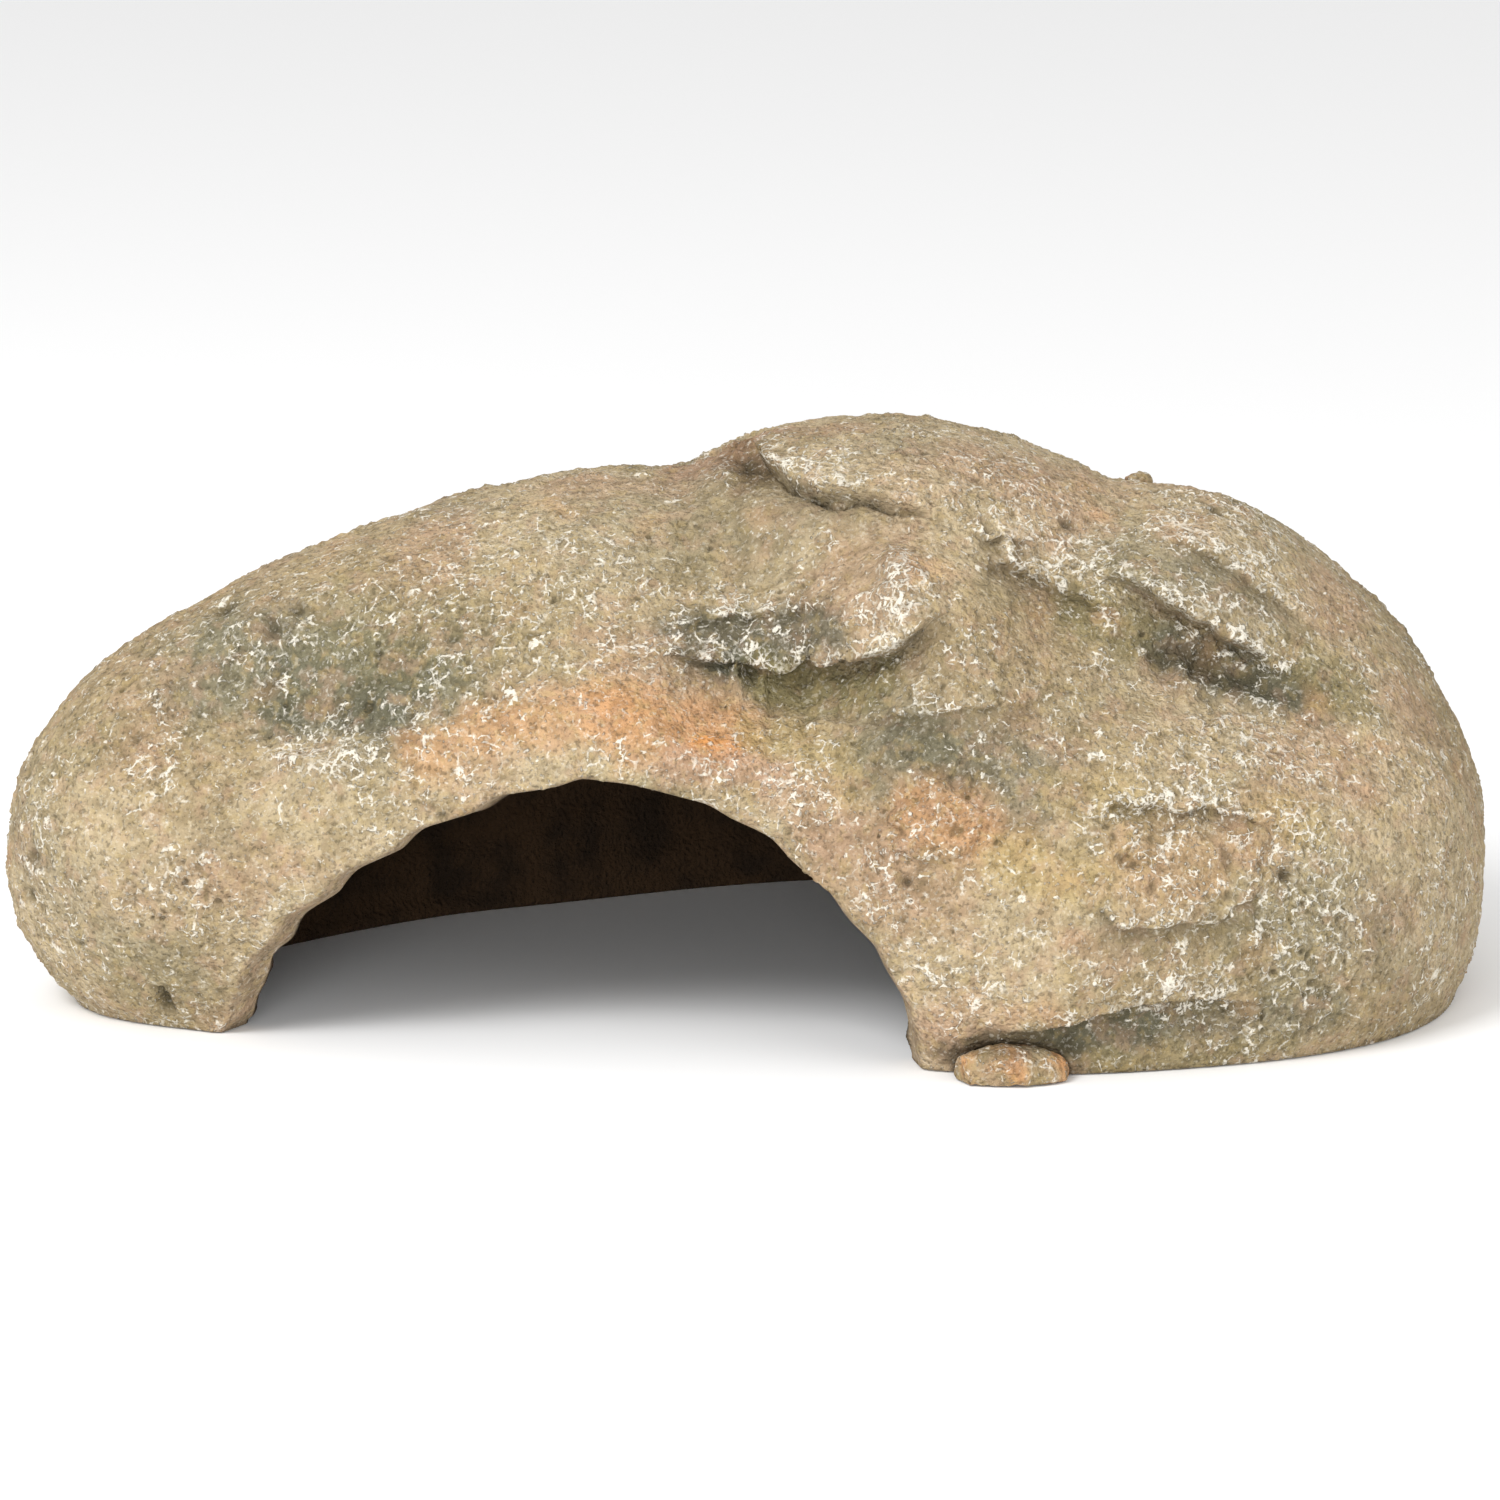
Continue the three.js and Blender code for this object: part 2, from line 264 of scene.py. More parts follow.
# Painted streaks: paint, from, to, half-width in millimetres, strength.
FRONT_PAINT = [
    ("grey", (-0.68, 0.64), (-0.44, 0.63), 9, 0.85),
    ("slate", (-0.6, 0.58), (-0.46, 0.6), 5.5, 0.7),
    ("olive", (-0.5, 0.7), (-0.3, 0.72), 9, 0.3),
    ("grey", (-0.2, 0.85), (-0.05, 0.85), 9, 0.25),
    ("orange", (-0.42, 0.53), (-0.17, 0.6), 4, 0.55),
    ("orange", (-0.17, 0.58), (-0.02, 0.55), 4.5, 0.75),
    ("amber", (-0.06, 0.54), (-0.03, 0.53), 1.8, 0.9),
    ("ochre", (0.03, 0.56), (0.12, 0.48), 4, 0.6),
    ("pink", (-0.1, 0.51), (0.02, 0.5), 2.5, 0.7),
    ("pink", (0.05, 0.47), (0.1, 0.4), 3.5, 0.6),
    ("slate", (-0.08, 0.7), (0.1, 0.73), 3.5, 0.8),
    ("slate", (-0.03, 0.65), (0.02, 0.65), 2.5, 0.9),
    ("olive", (0.02, 0.64), (0.16, 0.65), 3.5, 0.9),
    ("olive", (0.43, 0.73), (0.52, 0.7), 4, 0.7),
    ("grey", (0.5, 0.8), (0.66, 0.74), 3, 0.4),
    ("slate", (0.56, 0.67), (0.74, 0.59), 3.8, 0.85),
    ("olive", (0.72, 0.66), (0.8, 0.58), 4, 0.6),
    ("grey", (0.18, 0.55), (0.36, 0.5), 6, 0.75),
    ("slate", (0.2, 0.57), (0.28, 0.52), 3, 0.4),
    ("orange", (0.22, 0.45), (0.28, 0.42), 4, 0.6),
    ("orange", (0.5, 0.36), (0.6, 0.38), 5, 0.3),
    ("pink", (0.15, 0.36), (0.22, 0.32), 6, 0.5),
    ("ochre", (0.34, 0.38), (0.42, 0.34), 3.5, 0.7),
    ("ochre", (0.4, 0.47), (0.5, 0.46), 3.5, 0.4),
    ("ochre", (0.68, 0.42), (0.72, 0.4), 3, 0.5),
    ("pink", (-0.1, 0.97), (0.02, 0.98), 4, 0.8),
    # painted shade in the slab's notch
    ("notch_shade_brown", (-0.02, 0.97), (0.01, 0.95), 2.5, 0.6),
    ("pink", (0.3, 0.96), (0.42, 0.88), 6, 0.6),
    ("grey", (-0.97, 0.4), (-0.75, 0.12), 5, 0.3),
    ("slate", (0.4, 0.07), (0.52, 0.08), 2.4, 0.85),
    ("grey", (0.52, 0.08), (0.75, 0.09), 3, 0.6),
    ("olive", (0.45, 0.02), (0.7, 0.03), 1.8, 0.6),
    ("pink", (0.24, 0.08), (0.3, 0.05), 3, 0.5),
    ("grey", (0.66, 0.22), (0.8, 0.25), 6, 0.35),
]
BACK_PAINT = [
    ("slate", (-0.45, 0.42), (-0.12, 0.56), 4, 0.7),
    ("grey", (0.52, 0.75), (0.62, 0.5), 8, 0.65),
    ("orange", (-0.12, 0.36), (0.16, 0.44), 5, 0.5),
    ("olive", (-0.8, 0.4), (-0.58, 0.22), 7, 0.5),
    ("ochre", (0.25, 0.18), (0.6, 0.2), 5, 0.4),
    ("pink", (-0.4, 0.75), (-0.1, 0.85), 7, 0.5),
]

CAMERA_RISE = 13.0  # degrees above the level
CAMERA_DISTANCE = 650.0  # millimetres, as are the lens and the sensor's width
CAMERA_LENS = 139.9
SENSOR = 36.0
AIM_FORWARD = 0.265  # share of the depth by which the camera aims in front of the middle

# The studio, in metres: a light is its name, place, size and power in watts.
LIGHTS = [
    ("key", (-0.45, -0.55, 0.75), 0.4, 6.5),
    ("fill", (0.7, -0.6, 0.5), 0.6, 1.5),
    ("mouth", (-0.1, -0.7, 0.12), 0.3, 2.5),
]
DAYLIGHT = 0.86
FLOOR_SIZE = 6
FLOOR_DROP = 0.0002  # keeps the floor just clear of the rim
FLOOR_WHITE = 0.9
FLOOR_ROUGHNESS = 0.9


def to_linear(colour):
    """A screen colour as the linear values that shaders take."""
    share = np.array(colour) / 255
    return np.where(share <= 0.04045, share / 12.92, ((share + 0.055) / 1.055) ** 2.4)


def smoothstep(low, high, value):
    share = np.clip((value - low) / (high - low), 0, 1)
    return share * share * (3 - 2 * share)


# Noise.

def scramble(cell, seed):
    """A repeatable whole number for each lattice cell."""
    cell = cell.astype(np.int64).astype(np.uint32)
    mixed = cell[:, 0] * np.uint32(374761393) + cell[:, 1] * np.uint32(668265263)
    mixed = mixed + cell[:, 2] * np.uint32(2246822519) + np.uint32(seed * 3266489917 % 2**32)
    mixed = (mixed ^ (mixed >> np.uint32(13))) * np.uint32(1274126177)
    mixed = (mixed ^ (mixed >> np.uint32(15))) * np.uint32(2654435761)
    return mixed ^ (mixed >> np.uint32(16))


def random_vectors(cell, seed):
    """Three repeatable values from -1 to 1 for each lattice cell."""
    number = scramble(cell, seed)
    parts = [number & np.uint32(1023), (number >> np.uint32(10)) & np.uint32(1023), number >> np.uint32(22)]
    return np.stack(parts, axis=1) / 511.5 - 1


def noise(points, size, seed):
    """Smooth noise from about -1 to 1, whose lumps are about size across."""
    scaled = points / size
    cell = np.floor(scaled)
    inside = scaled - cell
    ease = inside**3 * (inside * (inside * 6 - 15) + 10)
    total = np.zeros(len(points))
    for corner in np.ndindex(2, 2, 2):
        corner = np.array(corner)
        slope = random_vectors(cell + corner, seed)
        weight = np.prod(np.where(corner == 1, ease, 1 - ease), axis=1)
        total += weight * np.sum(slope * (inside - corner), axis=1)
    return total * 1.6


def layered_noise(points, layers):
    return sum(tall * noise(points, size, seed) for seed, (size, tall) in layers)


def cells(points, size, seed):
    """Distances to the nearest and the second nearest of some scattered points, in cell sizes."""
    scaled = points / size
    cell = np.floor(scaled)
    first = np.full(len(points), 9.0)
    second = np.full(len(points), 9.0)
    for step in np.ndindex(3, 3, 3):
        other = cell + np.array(step) - 1
        centre = other + 0.5 + 0.45 * random_vectors(other, seed)
        distance = np.linalg.norm(centre - scaled, axis=1)
        second = np.minimum(second, np.maximum(first, distance))
        first = np.minimum(first, distance)
    return first, second


# Meshes.

def read_points(mesh):
    flat = np.empty(len(mesh.vertices) * 3)
    mesh.vertices.foreach_get("co", flat)
    return flat.reshape(-1, 3)


def read_normals(mesh):
    flat = np.empty(len(mesh.vertices) * 3)
    mesh.vertex_normals.foreach_get("vector", flat)
    return flat.reshape(-1, 3)


def write_points(mesh, points):
    mesh.vertices.foreach_set("co", np.ascontiguousarray(points, dtype=np.float64).ravel())
    mesh.update()


def remeshed_copy(node, name, voxel, rounding):
    """A fine, rounded copy of a CAD node's mesh, in millimetres."""
    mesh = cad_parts[node].data.copy()
    mesh.name = name
    mesh.materials.clear()
    write_points(mesh, read_points(mesh) / MM)
    work = bmesh.new()
    work.from_mesh(mesh)
    bmesh.ops.remove_doubles(work, verts=work.verts, dist=WELD)
    work.to_mesh(mesh)
    work.free()
    piece = bpy.data.objects.new(name, mesh)
    bpy.context.scene.collection.objects.link(piece)
    remesh = piece.modifiers.new("fine", "REMESH")
    remesh.mode = "VOXEL"
    remesh.voxel_size = voxel
    smooth = piece.modifiers.new("round", "SMOOTH")
    smooth.factor = 0.5
    smooth.iterations = rounding
    evaluated = piece.evaluated_get(bpy.context.evaluated_depsgraph_get())
    fine = bpy.data.meshes.new_from_object(evaluated)
    fine.name = name
    piece.modifiers.clear()
    piece.data = fine
    bpy.data.meshes.remove(mesh)
    return piece


class Surface:
    """Finds points on a mesh."""

    def __init__(self, mesh):
        corners = [tuple(point) for point in read_points(mesh)]
        faces = [tuple(face.vertices) for face in mesh.polygons]
        self.tree = BVHTree.FromPolygons(corners, faces)

    def nearest(self, point):
        """The nearest point of the mesh, and the way out of the surface there."""
        place, normal = self.tree.find_nearest(Vector(point))[:2]
        return np.array(place), np.array(normal)

    def outermost(self, point):
        """The outer surface over or under a point, in line with the core, and the way out there."""
        way = (point - CORE) / np.linalg.norm(point - CORE)
        start = CORE + BOX_SIZE.max() * way
        place, normal = self.tree.ray_cast(Vector(start), Vector(-way))[:2]
        if place is None:
            return self.nearest(point)
        return np.array(place), np.array(normal)

    def place(self, across, up, side=FRONT):
        """Where a place (across, up) lies on the front or the back."""
        x = BOX_MIDDLE[0] + across * BOX_SIZE[0] / 2
        z = BOX_LOW[2] + up * BOX_SIZE[2]
        start = Vector((x, BOX_MIDDLE[1] + side * BOX_SIZE[1], z))
        hit = self.tree.ray_cast(start, Vector((0, -side, 0)))[0]
        if hit is None:
            return self.nearest((x, BOX_MIDDLE[1], z))[0]
        return np.array(hit)


# Sculpting.

def surface_path(surface, places, side, seed):
    """A line over the surface through some places, straying a little to either side, and its normals."""
    anchors = np.array([surface.place(across, up, side) for across, up in places])
    share = np.linspace(0, 1, STROKE_STEPS)
    knots = np.linspace(0, 1, len(anchors))
    line = np.stack([np.interp(share, knots, anchors[:, axis]) for axis in range(3)], axis=1)
    for _ in range(CORNER_ROUNDING):
        line[1:-1] = (line[:-2] + 2 * line[1:-1] + line[2:]) / 4
    along = share[:, None] * np.array([LINE_LUMPS, 0, 0])
    stray = np.stack([noise(along, 1.0, seed + turn) for turn in (0, 1000, 2000)], axis=1)
    found = [surface.outermost(point) for point in line + WANDER * stray]
    return np.array([point for point, _ in found]), np.array([normal for _, normal in found])


def points_near(points, path, reach):
    """The numbers of the points within reach of the box round a path."""
    low = path.min(axis=0) - reach
    high = path.max(axis=0) + reach
    return np.flatnonzero(np.all((points > low) & (points < high), axis=1))


def distance_to_path(points, path, normals, side):
    """How each point lies to a path: distance, distance uphill, the uphill way, and its share from 0 to 1."""
    best = np.full(len(points), 1e9)
    above = np.zeros(len(points))
    share = np.zeros(len(points))
    uphill = np.zeros((len(points), 3))
    for index, (start, end) in enumerate(zip(path[:-1], path[1:])):
        run = end - start
        length = max(float(run @ run), 1e-9)
        part = np.clip((points - start) @ run / length, 0, 1)
        offset = points - start - part[:, None] * run
        distance = np.linalg.norm(offset, axis=1)
        closer = distance < best
        across = -side * np.cross(normals[index], run)
        across /= max(float(np.linalg.norm(across)), 1e-9)
        best[closer] = distance[closer]
        above[closer] = offset[closer] @ across
        share[closer] = (index + part[closer]) / (len(path) - 1)
        uphill[closer] = across
    return best, above, uphill, share


def stroke_shape(kind, distance, above, wide, deep):
    """Height change, lean downhill, painted shade and pale dust that a stroke makes."""
    line = np.exp(-((distance / (wide / 2)) ** 2))
    uphill = smoothstep(-SIDE_BLEND, SIDE_BLEND, above)
    downhill = 1 - uphill
    level = np.zeros(len(distance))
    if kind == "crack":
        edges = np.exp(-3 * (distance / wide - 1) ** 2)
        return -deep * line, level, line, CRACK_DUST * edges
    if kind == "fold":
        foot = np.exp(-((distance / wide) ** 2)) * downhill
        return deep * line, level, FOLD_SHADE * foot, FOLD_DUST * line
    fade = np.exp(-distance / wide)
    lip = np.exp(-distance / (LIP_SHARE * wide)) * uphill
    rise = deep * fade * (LEDGE_RISE * uphill - downhill)
    return rise, LEAN * deep * lip, LEDGE_SHADE * fade * downhill, LEDGE_DUST * lip


def add_strokes(points, surface, height, shift, wash_and_shade, dust):
    strokes = [(FRONT, *stroke) for stroke in FRONT_STROKES.values()]
    strokes += [(BACK, *stroke) for stroke in BACK_STROKES.values()]
    for seed, (side, kind, places, wide, deep) in enumerate(strokes):
        path, normals = surface_path(surface, places, side, 100 + seed)
        near = points_near(points, path, STROKE_REACH * wide + 2)
        distance, above, uphill, share = distance_to_path(points[near], path, normals, side)
        ragged = 1 + 0.3 * noise(points[near], 1.8, 200 + seed)
        taper = smoothstep(0, END_SHARE, share) * smoothstep(0, END_SHARE, 1 - share)
        rise, lean, dark, pale = stroke_shape(kind, distance * ragged, above, wide, deep)
        height[near] += rise * taper
        shift[near] -= uphill * (lean * taper)[:, None]
        # The stroke's painted shade: inside a crack, below a ledge, at the foot of a fold.
        wash_and_shade[near] = np.maximum(wash_and_shade[near], dark * taper)
        dust[near] = np.maximum(dust[near], pale * taper)


def darken_foot(points, wash_and_shade):
    """Painted shade in the crack where the foot stone meets the shell."""
    low, high = (np.array(corner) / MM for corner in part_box("foot_stone"))
    half = (high - low) / 2 + FOOT_CRACK
    beyond = np.linalg.norm((points - (low + high) / 2) / half, axis=1)
    ragged = 0.2 * noise(points, 3.0, 8) + 0.12 * noise(points, 1.2, 9)
    wash_and_shade[:] = np.maximum(wash_and_shade, 1 - smoothstep(*FOOT_EDGE, beyond + ragged))


def add_pits(points, surface, height, wash_and_shade):
    for across, up, radius in PITS:
        centre = surface.place(across, up)
        near = points_near(points, centre[None, :], 3 * radius)
        distance = np.linalg.norm(points[near] - centre, axis=1)
        dip = np.exp(-((distance * (1 + 0.3 * noise(points[near], 1.2, 7)) / radius) ** 2))
        height[near] -= PIT_DEPTH * dip
        wash_and_shade[near] = np.maximum(wash_and_shade[near], dip)


def spread(points, centre, wide, tall, seed):
    """1 at the middle of a region with a ragged edge, falling to 0 outside it. Depth counts as width."""
    offset = (points - centre) / np.array([wide, wide, tall])
    edge = 0.35 * noise(points, 5.0, seed) + 0.2 * noise(points, 2.0, seed + 1)
    return 1 - smoothstep(*REGION_EDGE, np.linalg.norm(offset, axis=1) + edge)


def round_foot(points):
    """How far along X the mouth's left foot draws back at its bottom corner."""
    across, radius = FOOT_CORNER
    corner = BOX_MIDDLE[0] + across * BOX_SIZE[0] / 2
    below = np.clip(1 - points[:, 2] / radius, 0, 1)
    back = radius * (1 - np.sqrt(1 - below**2))
    mouth_side = 1 - smoothstep(0, FOOT_REACH, np.abs(points[:, 0] - corner))
    return -back * mouth_side * (points[:, 1] < BOX_MIDDLE[1])


def nub(points):
    """Height of the small nub on the mouth's left edge."""
    across, forward, up = NUB
    centre = BOX_MIDDLE + np.array([across / 2, forward, 0]) * BOX_SIZE
    centre[2] = BOX_LOW[2] + up * BOX_SIZE[2]
    distance = np.linalg.norm(points - centre, axis=1)
    return NUB_HEIGHT * np.exp(-((distance / NUB_RADIUS) ** 2))


def facing_out(points, normals):
    """1 where the surface faces away from the core, -1 where it faces back at it."""
    outward = points - CORE
    outward /= np.linalg.norm(outward, axis=1)[:, None]
    return np.sum(outward * normals, axis=1)


def painted(points, surface, cut):
    """The wash of colour at each point, in linear values. Cut is 1 on the mouth's cut edge."""
    colour = np.tile(to_linear(PAINTS["beige"]), (len(points), 1))

    def lay(paint, amount, where=slice(None)):
        colour[where] += (to_linear(PAINTS[paint]) - colour[where]) * amount[:, None]

    for seed, (paint, size, fade, strength) in enumerate(WASH_PATCHES, 11):
        lay(paint, strength * smoothstep(*fade, noise(points, size, seed)))
    streaks = [(FRONT, *streak) for streak in FRONT_PAINT] + [(BACK, *streak) for streak in BACK_PAINT]
    for seed, (side, paint, start, end, wide, strength) in enumerate(streaks):
        path, normals = surface_path(surface, [start, end], side, 300 + seed)
        near = points_near(points, path, 2.2 * wide)
        distance = distance_to_path(points[near], path, normals, side)[0] / wide
        edge = 0.4 * noise(points[near], 6.0, 330 + seed) + 0.25 * noise(points[near], 2.2, 360 + seed)
        lay(paint, strength * (1 - smoothstep(0.35, 1.4, distance + edge)), near)
    specks = smoothstep(0.2, 0.8, noise(points, 5, 15)) * smoothstep(-0.1, 0.4, noise(points, 20, 16))
    lay("orange", SPECKS * specks)
    lay("reveal", cut)
    return colour


def fine_relief(points):
    """The grain, network and pores of the outside, and where the network runs."""
    grain = layered_noise(points, [layer for layer in enumerate(GRAIN) if layer[1][0] < FINEST_SWELL])
    rough = CALM + (1 - CALM) * smoothstep(-0.3, 0.4, noise(points, CALM_SIZE, 32))
    warp = np.stack([noise(points, NET_SIZE, seed) for seed in (51, 52, 53)], axis=1)
    first, second = cells(points + NET_WARP * warp, NET_SIZE, 21)
    net = 1 - smoothstep(*NET_LINE, second - first)
    net *= smoothstep(-0.25, 0.25, noise(points, NET_GAP_SIZE, 24))
    pore = (1 - smoothstep(*PORE_RIM, first)) * smoothstep(0.15, 0.4, noise(points, PORE_SPREAD, 54))
    return rough * (grain + NET_HEIGHT * net - PORE_DEPTH * pore), net


def crusted(points, surface):
    """1 on the plates of crust, with a soft ragged edge."""
    crust = np.zeros(len(points))
    for seed, (across, up, wide, tall) in enumerate(CRUSTS, 400):
        crust = np.maximum(crust, spread(points, surface.place(across, up), wide, tall, seed))
    return crust


def dry_brushed(points, surface, skin, crust, wash_and_shade, dust):
    """How much pale paint each point carries. Skin numbers the points of the outside."""
    dusting = np.zeros(len(points))
    patches = smoothstep(-0.3, 0.5, noise(points[skin], 9.0, 31))
    dusting[skin] = LEAST_DUST + PATCHY_DUST * patches + CRUST_DUST * crust
    places = [(FRONT, *place) for place in DUSTY_PLACES] + [(BACK, *place) for place in BACK_DUSTY_PLACES]
    for seed, (side, across, up, wide, tall, strength) in enumerate(places, 500):
        centre = surface.place(across, up, side)
        near = points_near(points, centre[None, :], 2.2 * wide)
        amount = strength * spread(points[near], centre, wide, DUST_HEIGHT * tall, seed)
        dusting[near] = np.maximum(dusting[near], amount)
    return np.clip(dusting + STROKE_DUST * dust - WASH_AND_SHADE_HIDE_DUST * wash_and_shade, 0, MOST_DUST)


def sculpt_shell(piece):
    mesh = piece.data
    points = read_points(mesh)
    normals = read_normals(mesh)
    surface = Surface(mesh)
    facing = facing_out(points, normals)
    outside = smoothstep(*FACES_OUT, facing)
    inside = 1 - smoothstep(*FACES_IN, facing)
    cut = (1 - outside) * (1 - inside)

    skin = np.flatnonzero(outside > 0)
    fine, net = fine_relief(points[skin])
    crust = crusted(points[skin], surface)
    plate = smoothstep(0.4, 0.6, crust)
    flakes = plate * CRUST_HEIGHT * (0.5 - cells(points[skin], FLAKE_SIZE, 22)[0])
    relief = np.zeros(len(points))
    relief[skin] = fine + flakes
    ridge = np.zeros(len(points))
    ridge[skin] = net
    swell = layered_noise(points, [layer for layer in enumerate(GRAIN) if layer[1][0] >= FINEST_SWELL])
    height = swell + relief
    height[skin] += CRUST_RISE * plate

    wash_and_shade = np.zeros(len(points))
    dust = np.zeros(len(points))
    shift = np.zeros((len(points), 3))
    add_strokes(points, surface, height, shift, wash_and_shade, dust)
    add_pits(points, surface, height, wash_and_shade)
    darken_foot(points, wash_and_shade)
    height *= CUT_RELIEF + (1 - CUT_RELIEF) * outside
    height += INNER_LEDGES * inside * noise(points * INNER_STRETCH, 5.0, 61)
    height *= RIM_RELIEF + (1 - RIM_RELIEF) * smoothstep(0, RIM_CALM, points[:, 2])
    height += nub(points)
    moved = points + normals * height[:, None] + shift * outside[:, None]
    moved[:, 0] += round_foot(points)
    moved[:, 2] = np.where(points[:, 2] < RIM_HEIGHT, BOX_LOW[2], np.maximum(moved[:, 2], BOX_LOW[2]))

    dusting = dry_brushed(points, surface, skin, crust, wash_and_shade, dust) * outside
    write_points(mesh, moved * MM)
    write_attributes(mesh, painted(points, surface, cut), inside, relief, wash_and_shade * outside, dusting, ridge)


def cut_angular(points):
    """The points of a rounded stone, pressed flat against planes over its top and round its sides."""
    low = points.min(axis=0)
    high = points.max(axis=0)
    cut = points - (low + high) / 2
    half = (high - low) / 2
    turn = math.pi * (3 - math.sqrt(5))
    for number in range(STONE_CUTS):
        rise = 1 - STONE_CUT_RANGE * (number + 0.5) / STONE_CUTS
        level = math.sqrt(1 - rise**2)
        way = np.array([level * math.cos(turn * number), level * math.sin(turn * number), rise])
        share = STONE_CUT_SHARE * (1 + STONE_CUT_VARIES * math.sin(5 * number))
        cut -= np.maximum(cut @ way - share * np.linalg.norm(half * way), 0)[:, None] * way
    return cut + (low + high) / 2


def sculpt_stone(piece, paint, shade):
    """Shapes and paints a small stone. Shade is how dark the painted shade on its top is."""
    mesh = piece.data
    points = read_points(mesh)
    normals = read_normals(mesh)
    grain = layered_noise(points, [layer for layer in enumerate(GRAIN) if layer[1][0] < FINEST_SWELL])
    moved = cut_angular(points) + normals * (STONE_GRAIN * grain)[:, None]
    moved[:, 2] = np.maximum(moved[:, 2], BOX_LOW[2])
    write_points(mesh, moved * MM)
    colour = np.tile(to_linear(PAINTS["tan"]), (len(points), 1))
    amount = smoothstep(-0.4, 0.5, noise(points, 3.0, 41))[:, None]
    colour += (to_linear(PAINTS[paint]) - colour) * amount
    nothing = np.zeros(len(points))
    start, full = STONE_SHADE_DEPTH
    top = points[:, 2].max()
    # Painted shade on the stone's top, where the shell hangs over it.
    wash_and_shade = shade * smoothstep(top - start, top - full, points[:, 2])
    write_attributes(mesh, colour, nothing, grain, wash_and_shade, nothing + STONE_DUST, nothing)


def write_attributes(mesh, colour, inside, relief, wash_and_shade, dusting, ridge):
    """Stores what the paint needs to know about each point of the surface."""
    layer = mesh.color_attributes.new("paint", "FLOAT_COLOR", "POINT")
    rgba = np.concatenate([colour, np.ones((len(colour), 1))], axis=1)
    layer.data.foreach_set("color", rgba.ravel())
    measures = {"inside": inside, "relief": relief, "wash_and_shade": wash_and_shade, "dusting": dusting, "ridge": ridge}
    for name, values in measures.items():
        mesh.attributes.new(name, "FLOAT", "POINT").data.foreach_set("value", values)
    mesh.shade_smooth()


# Material.

class Nodes:
    """Short ways to add shader nodes to a material."""

    def __init__(self, name):
        self.material = bpy.data.materials.new(name)
        self.material.use_nodes = True
        self.tree = self.material.node_tree
        self.shader = self.tree.nodes["Principled BSDF"]
        self.place = self.tree.nodes.new("ShaderNodeTexCoord").outputs["Object"]

    def feed(self, socket, value):
        if isinstance(value, bpy.types.NodeSocket):
            self.tree.links.new(value, socket)
        else:
            socket.default_value = value

    def attribute(self, name, output="Fac"):
        node = self.tree.nodes.new("ShaderNodeAttribute")
        node.attribute_name = name
        return node.outputs[output]

    def noise(self, size_mm, detail=3.0):
        node = self.tree.nodes.new("ShaderNodeTexNoise")
        node.inputs["Scale"].default_value = 1 / (size_mm * MM)
        node.inputs["Detail"].default_value = detail
        self.feed(node.inputs["Vector"], self.place)
        return node.outputs["Fac"]

    def cell_edge(self, size_mm):
        """Distance to the edge between cells, in cell sizes."""
        node = self.tree.nodes.new("ShaderNodeTexVoronoi")
        node.feature = "DISTANCE_TO_EDGE"
        node.inputs["Scale"].default_value = 1 / (size_mm * MM)
        self.feed(node.inputs["Vector"], self.place)
        return node.outputs["Distance"]

    def math(self, operation, first, second=0.0):
        node = self.tree.nodes.new("ShaderNodeMath")
        node.operation = operation
        self.feed(node.inputs[0], first)
        self.feed(node.inputs[1], second)
        return node.outputs[0]

    def times(self, first, second):
        return self.math("MULTIPLY", first, second)

    def plus(self, first, second):
        return self.math("ADD", first, second)

    def step(self, value, low, high):
        node = self.tree.nodes.new("ShaderNodeMapRange")
        node.interpolation_type = "SMOOTHSTEP"
        self.feed(node.inputs["Value"], value)
        self.feed(node.inputs["From Min"], low)
        self.feed(node.inputs["From Max"], high)
        return node.outputs["Result"]

    def mix(self, amount, first, second, blend="MIX"):
        node = self.tree.nodes.new("ShaderNodeMix")
        node.data_type = "RGBA"
        node.blend_type = blend
        self.feed(node.inputs[0], amount)
        self.feed(node.inputs[6], first)
        self.feed(node.inputs[7], second)
        return node.outputs[2]

    def bump(self, height, strength, distance_mm, under=None):
        node = self.tree.nodes.new("ShaderNodeBump")
        node.inputs["Strength"].default_value = strength
        node.inputs["Distance"].default_value = distance_mm * MM
        self.feed(node.inputs["Height"], height)
        if under is not None:
            self.feed(node.inputs["Normal"], under)
        return node.outputs["Normal"]


def paint_colour(name):
    return (*to_linear(PAINTS[name]), 1.0)


def comes_in(nodes, lumps, dusting, reach):
    """1 where some lumps of noise, helped by the dusting, stand high enough."""
    added, start, full = reach
    return nodes.step(nodes.plus(lumps, nodes.times(dusting, added)), start, full)


def ragged_edge(nodes, strength):
    """Fine noise round 0 that breaks up a line."""
    return nodes.times(nodes.math("SUBTRACT", nodes.noise(FLECK_RAGGED), 0.5), strength)


def fleck_lines(nodes, size_mm, dusting):
    """Short broken lines round cells of one size, more of them where there is more dusting."""
    line = nodes.step(nodes.plus(nodes.cell_edge(size_mm), ragged_edge(nodes, 0.3)), *FLECK_LINE)
    return nodes.times(line, comes_in(nodes, nodes.noise(0.9 * size_mm), dusting, FLECK_REACH))


def pale_flecks(nodes, relief, dusting):
    """1 where the dry brush left pale paint: thin lines and grains on the high spots, and on the network."""
    ridge = nodes.step(nodes.plus(nodes.attribute("ridge"), ragged_edge(nodes, 1.6)), 0.75, 0.95)
    network = nodes.times(ridge, comes_in(nodes, nodes.noise(2.6), dusting, NETWORK_REACH))
    high = nodes.step(relief, *HIGH_SPOTS)
    lines = [nodes.times(high, fleck_lines(nodes, size, dusting)) for size in FLECK_SIZES]
    grains = nodes.times(high, comes_in(nodes, nodes.noise(0.6, 4), dusting, GRAIN_REACH))
    return nodes.math("MAXIMUM", nodes.math("MAXIMUM", *lines), nodes.math("MAXIMUM", network, grains))


